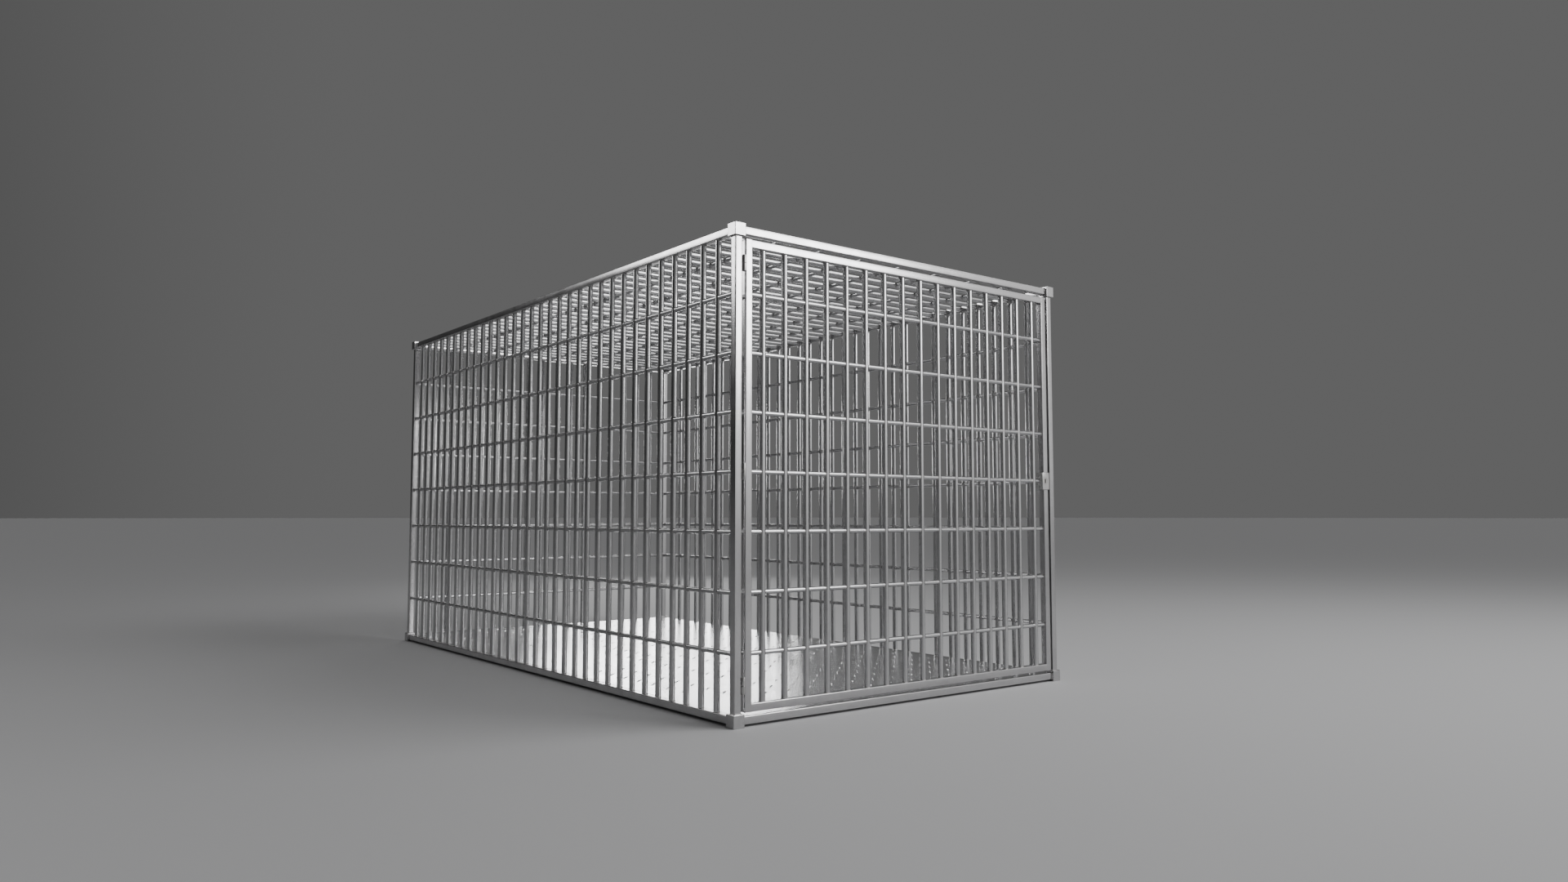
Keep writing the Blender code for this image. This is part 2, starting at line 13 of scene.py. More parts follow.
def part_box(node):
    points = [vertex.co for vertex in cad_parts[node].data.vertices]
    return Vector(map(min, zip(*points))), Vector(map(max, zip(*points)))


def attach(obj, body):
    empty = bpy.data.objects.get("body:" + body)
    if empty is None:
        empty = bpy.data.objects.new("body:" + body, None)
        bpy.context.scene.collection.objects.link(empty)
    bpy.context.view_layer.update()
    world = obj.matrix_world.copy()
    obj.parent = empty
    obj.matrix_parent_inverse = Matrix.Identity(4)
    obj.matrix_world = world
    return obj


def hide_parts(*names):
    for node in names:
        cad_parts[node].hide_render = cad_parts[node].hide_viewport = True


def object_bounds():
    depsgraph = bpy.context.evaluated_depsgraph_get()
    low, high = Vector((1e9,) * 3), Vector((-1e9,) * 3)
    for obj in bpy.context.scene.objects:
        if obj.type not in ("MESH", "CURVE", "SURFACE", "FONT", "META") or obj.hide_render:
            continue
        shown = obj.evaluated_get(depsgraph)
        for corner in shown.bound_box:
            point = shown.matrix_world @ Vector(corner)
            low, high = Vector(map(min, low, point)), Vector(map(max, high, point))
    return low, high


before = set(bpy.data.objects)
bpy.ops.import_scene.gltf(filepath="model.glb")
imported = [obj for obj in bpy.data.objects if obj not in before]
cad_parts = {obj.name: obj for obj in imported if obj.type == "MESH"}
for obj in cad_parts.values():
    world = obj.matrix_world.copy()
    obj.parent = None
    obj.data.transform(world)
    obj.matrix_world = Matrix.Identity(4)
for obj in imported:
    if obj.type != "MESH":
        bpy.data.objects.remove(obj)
CAD_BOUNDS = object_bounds()

# ---- sizes --------------------------------------------------------------------------------------
GAP = 0.0003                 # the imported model's gap between pieces, and the finest chamfer here
MERGE = 0.000002             # points closer together than this become one

BAR_RADIUS = 0.008
ROD_RADIUS = 0.006
BAR_SIDES = 20
ROD_SIDES = 16
SIDE_BARS = 32
END_BARS = 16
CROSS_RODS = 7
WELD = 0.0011                # how far a weld spreads over each of the two pieces it joins
# Each fillet is a few loops: how far each spreads over one piece, and over the other.
CROSSING_FILLET = ((0.0, WELD), (WELD * 0.35, WELD * 0.35), (WELD, 0.0))
END_FILLET = ((-0.0001, WELD * 1.4), (WELD * 0.35, WELD * 0.5), (WELD * 1.3, -0.0002))
SEAM = ((-0.0002, 0.0016), (0.0007, 0.0010), (0.0013, -0.0002))

TUBE_WALL = 0.0015
TUBE_CORNER = 0.0022
CORNER_STEPS = 5
TUBE_WORDS = ("post_", "_rail", "_stile", "bearer")  # a tube's name has one of these in it
OTHER_WORDS = ("cap", "knuckle")                     # and none of these
BLOCK_EDGE = 0.0014
BLOCK_EDGE_STEPS = 4

LUG_LENGTH = 0.038
LUG_HEAD = 0.0085            # width at the thick end
LUG_TAIL = 0.0030            # width at the thin end
LUG_HEIGHT = 0.0016
LUG_DOME = ((1.0, -0.0001), (0.84, LUG_HEIGHT * 0.45), (0.60, LUG_HEIGHT * 0.80), (0.25, LUG_HEIGHT))
LUG_PITCH = 0.078
LUG_LEAN = 45
LUG_STEPS = 16
LUG_START = (-0.018, -0.033)  # one lug's place; the rest follow from it by the pitch

HINGE_LEVELS = ("bottom", "middle", "top")
PIN_BORE = 0.0033
PIN_RADIUS = 0.003
BARREL_EDGE = 0.0010
BARREL_EDGE_STEPS = 4
BARREL_SIDES = 40
BLIND = 0.006                # solid end of a barrel, beyond its bore
BEAD = 0.0010                # radius of a hinge's weld bead
BEAD_TIP = 0.0001            # its radius at both ends
BEAD_STEPS = 14
BEAD_SIDES = 8
BEAD_FORWARD = 1.6           # how far it lies in front of the barrel's middle, in radii
RIPPLE = 0.12                # share of the radius
RIPPLE_TURN = 2.4            # radians from one step to the next

BOLT_HEIGHT = 0.010
PLUG_EDGE = 0.0005
KEYHOLE_EDGE = 0.0004
KEYHOLE_WIDTH = 0.0046
KEYHOLE_HEIGHT = 0.0137
KEYHOLE_DEPTH = 0.0052
SHADE_SHEET_INSET = 0.0001              # inset of the dark sheet of painted shade inside the keyhole
CAP_EDGE = 0.0004
SOFT_EDGE_STEPS = 2
LOCK_PARTS = (
    # node, body, width of its rounded edges
    ("lock_case", "door", 0.0007),
    ("lock_front_plate", "door", 0.00025),
    ("lock_barrel", "door", 0.0002),
    ("lock_cam", "lock_plug", 0.0002),
    ("lock_bolt", "lock_bolt", 0.0004),
    ("strike_plate", "cage", 0.0003),
    ("strike_rivet_lower", "cage", 0.0004),
    ("strike_rivet_upper", "cage", 0.0004))

# Degrees between two faces: above SHARP their edge isn't shaded smooth, above BEVELLED it is
# rounded, and below FLAT the two become one.
SHARP = 35
SHARP_SOFT = 50
SHARP_BLOCK = 60
SHARP_WELD = 70
BEVELLED = 40
FLAT = 2


# ---- materials ----------------------------------------------------------------------------------
STREAK_NOISE = (420.0, 5.0, 0.6)     # scale, detail and roughness of each noise
BLOOM_NOISE = (16.0, 4.0, 0.6)
MOTTLE_NOISE = (95.0, 3.0, 0.5)
# Between these two levels of its noise or pointiness a feature goes from its first look to its last.
CLOUD_SPAN = (0.32, 0.68)
SPOT_SPAN = (0.35, 0.65)
STREAK_SPAN = (0.3, 0.7)
EDGE_SPAN = (0.505, 0.56)
PATCH_SPAN = (0.3, 0.7)
LINE_SPAN = (0.3, 0.75)
SPOT_TONE = 0.72             # tone of the darkest spots and streaks, and their share
SPOT_SHARE = 0.25
STREAK_TONE = 0.66
STREAK_SHARE = 0.30
EDGE_GAIN = 1.25             # how much brighter a worn edge is
LINE_ROUGHNESS = 0.06
LINE_SHARE = 0.8
GRAIN_STRENGTH = 0.22
WAVE_STRENGTH = 0.10
WAVE_DEPTH = 0.0002


def new_material(name, colour, roughness, metallic=1.0):
    material = bpy.data.materials.new(name)
    material.use_nodes = True
    shader = material.node_tree.nodes["Principled BSDF"]
    shader.inputs["Base Color"].default_value = (*colour, 1.0)
    shader.inputs["Roughness"].default_value = roughness
    shader.inputs["Metallic"].default_value = metallic
    return material, material.node_tree, shader


def node(tree, kind, **values):
    made = tree.nodes.new(kind)
    for key, value in values.items():
        made.inputs[key].default_value = value
    return made


def ramp(tree, source, span, first, last, easing="LINEAR"):
    """A ramp from one colour or grey level to another, between two levels of its source."""
    made = tree.nodes.new("ShaderNodeValToRGB")
    made.color_ramp.interpolation = easing
    tree.links.new(source, made.inputs["Fac"])
    for element, position, colour in zip(made.color_ramp.elements, span, (first, last)):
        element.position = position
        if isinstance(colour, float):
            colour = (colour, colour, colour)
        element.color = (*colour, 1.0)
    return made.outputs["Color"]


def stretched(tree, stretch):
    """Object coordinates, stretched so that a texture's grain runs along an axis."""
    place = tree.nodes.new("ShaderNodeTexCoord").outputs["Object"]
    mapping = node(tree, "ShaderNodeMapping", Scale=stretch)
    tree.links.new(place, mapping.inputs["Vector"])
    return mapping.outputs["Vector"]


def noise(tree, vector, scale, detail, rough):
    made = node(tree, "ShaderNodeTexNoise", Scale=scale, Detail=detail, Roughness=rough)
    tree.links.new(vector, made.inputs["Vector"])
    return made.outputs["Fac"]


def mix_colour(tree, factor, first, second, kind="MIX"):
    made = tree.nodes.new("ShaderNodeMix")
    made.data_type = "RGBA"
    made.blend_type = kind
    # In an RGBA mix node, inputs 6 and 7 and output 2 are the colours.
    sockets = (made.inputs[0], made.inputs[6], made.inputs[7])
    for socket, value in zip(sockets, (factor, first, second)):
        if isinstance(value, bpy.types.NodeSocket):
            tree.links.new(value, socket)
        elif isinstance(value, tuple):
            socket.default_value = (*value, 1.0)
        else:
            socket.default_value = value
    return made.outputs[2]


def steel(name, light, dark, smooth, rough, grain, depth, worn=0.35):
    """Satin steel: drawn grain along an axis, cloudy bloom, bright worn edges and fine scratches.

    Where the bloom is thin the steel is light and smooth, and where it's thick, dark and rough.
    """
    material, tree, shader = new_material(name, light, smooth)
    along = stretched(tree, grain)
    even = stretched(tree, EVEN)
    streaks = noise(tree, along, *STREAK_NOISE)
    bloom = noise(tree, even, *BLOOM_NOISE)
    mottle = noise(tree, even, *MOTTLE_NOISE)
    cloud = ramp(tree, bloom, CLOUD_SPAN, dark, light)
    spots = ramp(tree, mottle, SPOT_SPAN, SPOT_TONE, 1.0)
    spotted = mix_colour(tree, SPOT_SHARE, cloud, spots, "MULTIPLY")
    lighter = ramp(tree, streaks, STREAK_SPAN, STREAK_TONE, 1.0)
    streaked = mix_colour(tree, STREAK_SHARE, spotted, lighter, "MULTIPLY")
    geometry = tree.nodes.new("ShaderNodeNewGeometry")
    edges = ramp(tree, geometry.outputs["Pointiness"], EDGE_SPAN, 0.0, worn)
    bright = tuple(min(1.0, value * EDGE_GAIN) for value in light)
    tree.links.new(mix_colour(tree, edges, streaked, bright), shader.inputs["Base Color"])
    patches = ramp(tree, bloom, PATCH_SPAN, rough, smooth)
    lines = ramp(tree, streaks, LINE_SPAN, 0.0, LINE_ROUGHNESS)
    tree.links.new(mix_colour(tree, LINE_SHARE, patches, lines, "ADD"), shader.inputs["Roughness"])
    bump = node(tree, "ShaderNodeBump", Strength=GRAIN_STRENGTH, Distance=depth)
    tree.links.new(streaks, bump.inputs["Height"])
    waves = node(tree, "ShaderNodeBump", Strength=WAVE_STRENGTH, Distance=WAVE_DEPTH)
    tree.links.new(bloom, waves.inputs["Height"])
    tree.links.new(bump.outputs["Normal"], waves.inputs["Normal"])
    tree.links.new(waves.outputs["Normal"], shader.inputs["Normal"])
    return material


LIGHT_STEEL = (0.53, 0.525, 0.53)
DARK_STEEL = (0.42, 0.415, 0.42)
LIGHT_BAR = (0.54, 0.54, 0.545)
DARK_BAR = (0.43, 0.43, 0.435)
# How far each way a texture is stretched; the grain runs along the axis with the small number.
EVEN = (1.0, 1.0, 1.0)
UPRIGHT = (1.0, 1.0, 0.05)
GRAIN = {"X": (0.02, 1.0, 1.0), "Y": (1.0, 0.02, 1.0), "Z": (1.0, 1.0, 0.02)}
FRAME_STEEL = {
    axis: steel("frame_steel_" + axis.lower(), LIGHT_STEEL, DARK_STEEL,
                smooth=0.16, rough=0.22, grain=grain, depth=0.00004)
    for axis, grain in GRAIN.items()}
BAR_STEEL = {
    axis: steel("bar_steel_" + axis.lower(), LIGHT_BAR, DARK_BAR,
                smooth=0.18, rough=0.24, grain=grain, depth=0.00002)
    for axis, grain in GRAIN.items()}
BLOCK_STEEL = steel(
    "block_steel", LIGHT_STEEL, DARK_STEEL,
    smooth=0.17, rough=0.24, grain=EVEN, depth=0.00005, worn=0.5)
WELD_STEEL = steel(
    "weld_steel", (0.42, 0.41, 0.40), (0.30, 0.29, 0.29),
    smooth=0.34, rough=0.46, grain=EVEN, depth=0.00008, worn=0.2)
HINGE_STEEL = steel(
    "hinge_steel", (0.50, 0.495, 0.49), (0.38, 0.375, 0.37),
    smooth=0.20, rough=0.30, grain=UPRIGHT, depth=0.00003, worn=0.5)
LOCK_STEEL = steel(
    "lock_steel", (0.54, 0.535, 0.53), (0.43, 0.425, 0.42),
    smooth=0.22, rough=0.32, grain=UPRIGHT, depth=0.00003, worn=0.5)
PLUG_METAL = steel(
    "plug_metal", (0.60, 0.59, 0.57), (0.45, 0.44, 0.43),
    smooth=0.26, rough=0.38, grain=(1.0, 0.05, 1.0), depth=0.00003, worn=0.5)
# Painted shade: a near-black sheet that stands for the shadow deep in the keyhole.
KEYHOLE_SHADE_PAINT = steel(
    "keyhole_painted_shade", (0.035, 0.034, 0.033), (0.02, 0.02, 0.02),
    smooth=0.45, rough=0.6, grain=EVEN, depth=0.00003, worn=0.1)
TREAD_STEEL = steel(
    "tread_steel", (0.76, 0.76, 0.77), (0.66, 0.66, 0.67),
    smooth=0.18, rough=0.24, grain=(1.0, 0.08, 1.0), depth=0.00004, worn=0.5)


# ---- mesh helpers -------------------------------------------------------------------------------
def to_object(name, shape):
    """Put a bmesh into the scene as an object, and free it."""
    mesh = bpy.data.meshes.new(name)
    shape.to_mesh(mesh)
    shape.free()
    made = bpy.data.objects.new(name, mesh)
    bpy.context.scene.collection.objects.link(made)
    return made


def add_piece(name, shape, material, body, nodes, sharp=SHARP):
    """Turn a bmesh into a shaded piece that rides on a body and stands for CAD nodes."""
    bmesh.ops.recalc_face_normals(shape, faces=shape.faces)
    piece = to_object(name, shape)
    piece.data.shade_smooth()
    piece.data.set_sharp_from_angle(angle=math.radians(sharp))
    piece.data.materials.append(material)
    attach(piece, body)
    if nodes:
        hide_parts(*nodes)
    return piece


def soften(piece, width, segments):
    bevel = piece.modifiers.new("edges", "BEVEL")
    bevel.width = width
    bevel.segments = segments
    bevel.limit_method = "ANGLE"
    bevel.angle_limit = math.radians(BEVELLED)


def turn_to(direction):
    """A turn that takes +Z to a direction."""
    turn = Vector((0, 0, 1)).rotation_difference(Vector(direction).normalized())
    return turn.to_matrix().to_4x4()


def turns(count, shift=0.0):
    """Even angles round a full circle, shifted by a share of one step."""
    return [2 * math.pi * (step + shift) / count for step in range(count)]


def add_round(shape, radius, place, start, end, sides):
    """A round bar between two points, which are given on a place's own axes."""
    start = place @ Vector(start)
    end = place @ Vector(end)
    bmesh.ops.create_cone(
        shape, cap_ends=True, segments=sides, radius1=radius, radius2=radius,
        depth=(end - start).length,
        matrix=Matrix.Translation((start + end) / 2) @ turn_to(end - start))


def add_loops(shape, loops):
    """Faces between closed loops of the same number of points, in order."""
    rings = [[shape.verts.new(point) for point in loop] for loop in loops]
    count = len(rings[0])
    for first, second in zip(rings, rings[1:]):
        for index in range(count):
            following = (index + 1) % count
            shape.faces.new((first[index], first[following], second[following], second[index]))
    return rings


def rounded_outline(half, radius):
    """Corner points of a square with rounded corners."""
    reach = half - radius
    points = []
    for quarter in range(4):
        middle = math.radians(45 + 90 * quarter)
        x = math.copysign(reach, math.cos(middle))
        y = math.copysign(reach, math.sin(middle))
        for step in range(CORNER_STEPS + 1):
            angle = math.radians(90 * (quarter + step / CORNER_STEPS))
            points.append((x + radius * math.cos(angle), y + radius * math.sin(angle)))
    return points


# ---- frame --------------------------------------------------------------------------------------
def tube_between(low, high, axis):
    """A rounded square tube that fills a box, with its wall showing at both ends."""
    size = high - low
    side = min(size) / 2
    reach = size["XYZ".index(axis)] / 2
    direction = [1.0 if letter == axis else 0.0 for letter in "XYZ"]
    place = Matrix.Translation((low + high) / 2) @ turn_to(direction)
    outer = rounded_outline(side, TUBE_CORNER)
    inner = rounded_outline(side - TUBE_WALL, TUBE_CORNER - TUBE_WALL)
    lip = rounded_outline(side - GAP, TUBE_CORNER - GAP)
    shape = bmesh.new()
    loops = []
    for outline, height in (
            (inner, reach), (lip, reach), (outer, reach - GAP),
            (outer, GAP - reach), (lip, -reach), (inner, -reach)):
        loops.append([place @ Vector((x, y, height)) for x, y in outline])
    add_loops(shape, loops + [loops[0]])
    bmesh.ops.remove_doubles(shape, verts=shape.verts, dist=MERGE)
    return shape


def frame_tubes():
    for name in sorted(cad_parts):
        if not any(word in name for word in TUBE_WORDS) or any(word in name for word in OTHER_WORDS):
            continue
        low, high = [Vector(corner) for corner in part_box(name)]
        size = list(high - low)
        axis = "XYZ"[size.index(max(size))]
        body = "door" if name.startswith("door_") else "cage"
        if name in ("door_bottom_rail", "door_top_rail"):
            # Each rail runs on over the stiles' rounded edges, like a weld that is ground flush.
            low.x -= GAP + TUBE_CORNER
            high.x += GAP + TUBE_CORNER
        shape = tube_between(low, high, axis)
        piece = add_piece(name + "_tube", shape, FRAME_STEEL[axis], body, [name])
        if name == "post_front_right":
            cut_bolt_hole(piece, low[0])


def cut_bolt_hole(post, face):
    """The hole in the latch post's inner wall that the thrown bolt enters."""
    low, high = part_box("lock_bolt")
    reach = Vector((2 * TUBE_WALL, (high[1] - low[1]) / 2 + GAP, BOLT_HEIGHT / 2 + GAP))
    centre = Vector((face, (low[1] + high[1]) / 2, low[2] + BOLT_HEIGHT / 2))
    shape = bmesh.new()
    bmesh.ops.create_cube(shape, size=2.0)
    bmesh.ops.scale(shape, vec=reach, verts=shape.verts)
    bmesh.ops.translate(shape, vec=centre, verts=shape.verts)
    cutter = to_object("bolt_hole", shape)
    cut = post.modifiers.new("bolt_hole", "BOOLEAN")
    cut.operation = "DIFFERENCE"
    cut.object = cutter
    bpy.context.view_layer.update()
    graph = bpy.context.evaluated_depsgraph_get()
    post.data = bpy.data.meshes.new_from_object(post.evaluated_get(graph))
    post.modifiers.clear()
    bpy.data.objects.remove(cutter, do_unlink=True)


def block_size():
    """A corner block's size: twice the way from the cage's outer plane to the post's middle."""
    low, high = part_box("post_front_left")
    return 2 * ((low[0] + high[0]) / 2 - CAD_BOUNDS[0][0])


def corner_blocks():
    """Solid corner blocks with rounded edges, and weld seams where the tubes meet them."""
    low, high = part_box("post_front_left")
    post = (high[0] - low[0]) / 2
    block = block_size()
    for name in sorted(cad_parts):
        if not name.startswith("corner_block_"):
            continue
        # The block's box is larger than the block, because the spigots count in it.
        low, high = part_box(name)
        sides = (-1 if low[0] < 0 else 1, -1 if low[1] < 0 else 1, -1 if "bottom" in name else 1)
        outer = Vector([high[index] if side > 0 else low[index] for index, side in enumerate(sides)])
        centre = outer - Vector(sides) * block / 2
        shape = bmesh.new()
        bmesh.ops.create_cube(shape, size=block, matrix=Matrix.Translation(centre))
        piece = add_piece(
            name + "_casting", shape, BLOCK_STEEL, "cage", [name], SHARP_BLOCK)
        soften(piece, BLOCK_EDGE, BLOCK_EDGE_STEPS)
        seams(name, centre, block, post, sides)


def seams(name, centre, block, post, sides):
    """Weld seams round the three tubes that meet a block."""
    shape = bmesh.new()
    for index, side in enumerate(sides):
        direction = Vector((0, 0, 0))
        direction[index] = -side
        place = Matrix.Translation(centre + direction * block / 2) @ turn_to(direction)
        loops = []
        for spread, height in SEAM:
            outline = rounded_outline(post + spread, TUBE_CORNER + max(spread, 0.0))
            loops.append([place @ Vector((x, y, height)) for x, y in outline])
        add_loops(shape, loops)
    add_piece(name + "_welds", shape, WELD_STEEL, "cage", [], SHARP_BLOCK)


# ---- grilles ------------------------------------------------------------------------------------
def even_stops(reach, count):
    return [reach * (2 * number / (count + 1) - 1) for number in range(1, count + 1)]


def crossing_weld(shape, place, side):
    """A fillet round a rod where it enters a bar, following the bar's round side."""
    loops = []
    for over_bar, along_rod in CROSSING_FILLET:
        ring = ROD_RADIUS + over_bar
        loop = []
        for angle in turns(ROD_SIDES):
            depth = ring * math.cos(angle)
            reach = math.sqrt(BAR_RADIUS ** 2 - depth ** 2)
            point = Vector((side * (reach + along_rod), depth, ring * math.sin(angle)))
            loop.append(place @ point)
        loops.append(loop)
    add_loops(shape, loops)


def end_weld(shape, place, radius, sides):
    """A fillet round a bar where it meets a flat face; the bar leaves along local Z."""
    loops = []
    for spread, height in END_FILLET:
        ring = radius + spread
        loops.append([
            place @ Vector((ring * math.cos(a), ring * math.sin(a), height)) for a in turns(sides)])
    add_loops(shape, loops)


def grille(name, body, bar_stops, bar_reach, rod_stops, rod_ends, place, axes, cut_rod_end=None):
    """Round bars along local Z, with cross rods through them along local X.

    The middle rod stops short where the lock is; axes are those of the bars and the rods.
    """
    low, high = bar_reach
    bars = bmesh.new()
    rods = bmesh.new()
    welds = bmesh.new()
    down = Matrix.Rotation(math.pi, 4, "X")
    right = Matrix.Rotation(math.pi / 2, 4, "Y")
    left = Matrix.Rotation(-math.pi / 2, 4, "Y")
    for stop in bar_stops:
        add_round(bars, BAR_RADIUS, place, (stop, 0, low), (stop, 0, high), BAR_SIDES)
        foot = place @ Matrix.Translation((stop, 0, low))
        head = place @ Matrix.Translation((stop, 0, high)) @ down
        end_weld(welds, foot, BAR_RADIUS, BAR_SIDES)
        end_weld(welds, head, BAR_RADIUS, BAR_SIDES)
    for number, stop in enumerate(rod_stops):
        start, end = rod_ends
        if cut_rod_end is not None and number == len(rod_stops) // 2:
            end = cut_rod_end
        add_round(rods, ROD_RADIUS, place, (start, 0, stop), (end, 0, stop), ROD_SIDES)
        for reach, turn in ((start, right), (end, left)):
            tip = place @ Matrix.Translation((reach, 0, stop)) @ turn
            end_weld(welds, tip, ROD_RADIUS, ROD_SIDES)
        for bar in bar_stops:
            crossing = place @ Matrix.Translation((bar, 0, stop))
            crossing_weld(welds, crossing, 1)
            crossing_weld(welds, crossing, -1)
    add_piece(name + "_bars", bars, BAR_STEEL[axes[0]], body, [name])
    add_piece(name + "_rods", rods, BAR_STEEL[axes[1]], body, [name])
    add_piece(name + "_welds", welds, WELD_STEEL, body, [], SHARP_WELD)


def grilles():
    post_low, post_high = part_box("post_front_left")
    floor_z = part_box("bottom_rail_left")[1][2]
    top_low, top_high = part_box("top_rail_left")
    post_x = -(post_low[0] + post_high[0]) / 2
    post_y = -(post_low[1] + post_high[1]) / 2
    inner_x = -post_high[0]
    inner_y = -post_high[1]
    ceiling_z = top_low[2]
    middle_z = (floor_z + ceiling_z) / 2
    roof_z = (top_low[2] + top_high[2]) / 2
    reach_z = (ceiling_z - floor_z) / 2
    rows = even_stops(reach_z, CROSS_RODS)
    side_bars = even_stops(inner_y, SIDE_BARS)
    end_bars = even_stops(inner_x, END_BARS)
    left = Matrix.Translation((-post_x, 0, middle_z)) @ Matrix.Rotation(-math.pi / 2, 4, "Z")
    right = Matrix.Translation((post_x, 0, middle_z)) @ Matrix.Rotation(math.pi / 2, 4, "Z")
    back = Matrix.Translation((0, post_y, middle_z)) @ Matrix.Rotation(math.pi, 4, "Z")
    over = Matrix.Rotation(math.pi / 2, 4, "Z") @ Matrix.Rotation(-math.pi / 2, 4, "X")
    roof = Matrix.Translation((0, 0, roof_z)) @ over
    upright = (-reach_z, reach_z)
    grille("left_grille", "cage", side_bars, upright, rows, (-inner_y, inner_y), left, "ZY")
    grille("right_grille", "cage", side_bars, upright, rows, (-inner_y, inner_y), right, "ZY")
    grille("back_grille", "cage", end_bars, upright, rows, (-inner_x, inner_x), back, "ZX")
    grille("roof_grille", "cage", side_bars, (-inner_x, inner_x), even_stops(inner_x, CROSS_RODS),
           (-inner_y, inner_y), roof, "XY")
    door = Matrix.Translation((0, -post_y, middle_z))
    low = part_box("door_bottom_rail")[1][2] - middle_z
    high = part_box("door_top_rail")[0][2] - middle_z
    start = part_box("door_hinge_stile")[1][0]
    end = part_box("door_latch_stile_lower")[0][0]
    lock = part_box("lock_case")[0][0]
    grille("door_grille", "door", end_bars, (low, high), rows, (start, end), door, "ZX", lock)


# ---- floor plate --------------------------------------------------------------------------------
def lug_loops(centre, top):
    """Outline loops of one leaning teardrop lug, from its foot to its crown."""
    turn = Matrix.Rotation(math.radians(LUG_LEAN), 4, "Z")
    loops = []
    for scale, height in LUG_DOME:
        loop = []
        for angle in turns(LUG_STEPS, 0.5):
            if math.cos(angle) > 0:
                radius = scale * LUG_HEAD / 2
                middle = (LUG_LENGTH - LUG_HEAD) / 2
            else:
                radius = scale * LUG_TAIL / 2
                middle = (LUG_TAIL - LUG_LENGTH) / 2
            point = turn @ Vector((middle + radius * math.cos(angle), radius * math.sin(angle), 0))
            loop.append(Vector((centre[0] + point.x, centre[1] + point.y, top + height)))
        loops.append(loop)
    return loops


def lug_stops(start, reach):
    """Places along one axis, a pitch apart, where a whole lug fits on the plate."""
    room = reach - LUG_LENGTH / 2
    first = math.ceil((-room - start) / LUG_PITCH)
    last = math.floor((room - start) / LUG_PITCH)
    return [start + LUG_PITCH * number for number in range(first, last + 1)]


def plate_outline(wide, long):
    """The plate's outline, notched round the corner blocks."""
    notch_x = -CAD_BOUNDS[0][0] - block_size() - GAP
    notch_y = -CAD_BOUNDS[0][1] - block_size() - GAP
    corner = [(wide, notch_y), (notch_x, notch_y), (notch_x, long)]
    mirrored = [(-x, y) for x, y in reversed(corner)]
    return corner + mirrored + [(-x, -y) for x, y in corner] + [(-x, -y) for x, y in mirrored]


def floor_plate():
    """The tread plate: a sheet with rows of raised lugs that all lean the same way."""
    low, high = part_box("floor_plate")
    wide = high[0]
    long = high[1]
    shape = bmesh.new()
    outline = [shape.verts.new((x, y, high[2])) for x, y in plate_outline(wide, long)]
    made = bmesh.ops.extrude_face_region(shape, geom=[shape.faces.new(outline)])
    moved = [item for item in made["geom"] if isinstance(item, bmesh.types.BMVert)]
    bmesh.ops.translate(shape, verts=moved, vec=(0, 0, low[2] - high[2]))
    add_piece("floor_plate_sheet", shape, TREAD_STEEL, "cage", ["floor_plate"])
    lugs = bmesh.new()
    for x in lug_stops(LUG_START[0], wide):
        for y in lug_stops(LUG_START[1], long):
            rings = add_loops(lugs, lug_loops((x, y), high[2]))
            lugs.faces.new(rings[-1])
    add_piece(
        "floor_plate_lugs", lugs, TREAD_STEEL, "cage", ["floor_plate"], SHARP_SOFT)


# ---- hinges -------------------------------------------------------------------------------------
def turned_shape(profile, centre):
    """A solid of revolution from (radius, height) points; a zero radius closes an end."""
    shape = bmesh.new()
    rings = []
    for radius, height in profile:
        ring = []
        for angle in turns(BARREL_SIDES if radius else 1):
            point = Vector((radius * math.cos(angle), radius * math.sin(angle), height))
            ring.append(shape.verts.new(centre + point))
        rings.append(ring)
    for first, second in zip(rings, rings[1:]):
        for index in range(BARREL_SIDES):
            following = (index + 1) % BARREL_SIDES
            if len(first) == 1:
                corners = (first[0], second[index], second[following])
            elif len(second) == 1:
                corners = (first[index], first[following], second[0])
            else:
                corners = (first[index], first[following], second[following], second[index])
            shape.faces.new(corners)
    return shape


def barrel_profile(radius, half, inner):
    """An upper barrel: a rounded closed end at the top, and a chamfered blind bore from below."""
    crown = []
    for step in range(BARREL_EDGE_STEPS + 1):
        angle = math.radians(90 * step / BARREL_EDGE_STEPS)
        ring = radius - BARREL_EDGE + BARREL_EDGE * math.sin(angle)
        crown.append((ring, half - BARREL_EDGE + BARREL_EDGE * math.cos(angle)))
    mouth = [
        (radius, inner + GAP), (radius - GAP, inner), (PIN_BORE + GAP, inner),
        (PIN_BORE, inner + GAP), (PIN_BORE, half - BLIND), (0, half - BLIND)]
    return [(0, half)] + crown + mouth


def pin_profile(reach):
    tip = PIN_RADIUS - GAP
    return [
        (0, reach), (tip, reach), (PIN_RADIUS, reach - GAP),
        (PIN_RADIUS, GAP - reach), (tip, -reach), (0, -reach)]


def washer_profile(rim, thick):
    return [
        (PIN_BORE, thick), (rim - GAP, thick), (rim, 0),
        (rim - GAP, -thick), (PIN_BORE, -thick), (PIN_BORE, thick)]


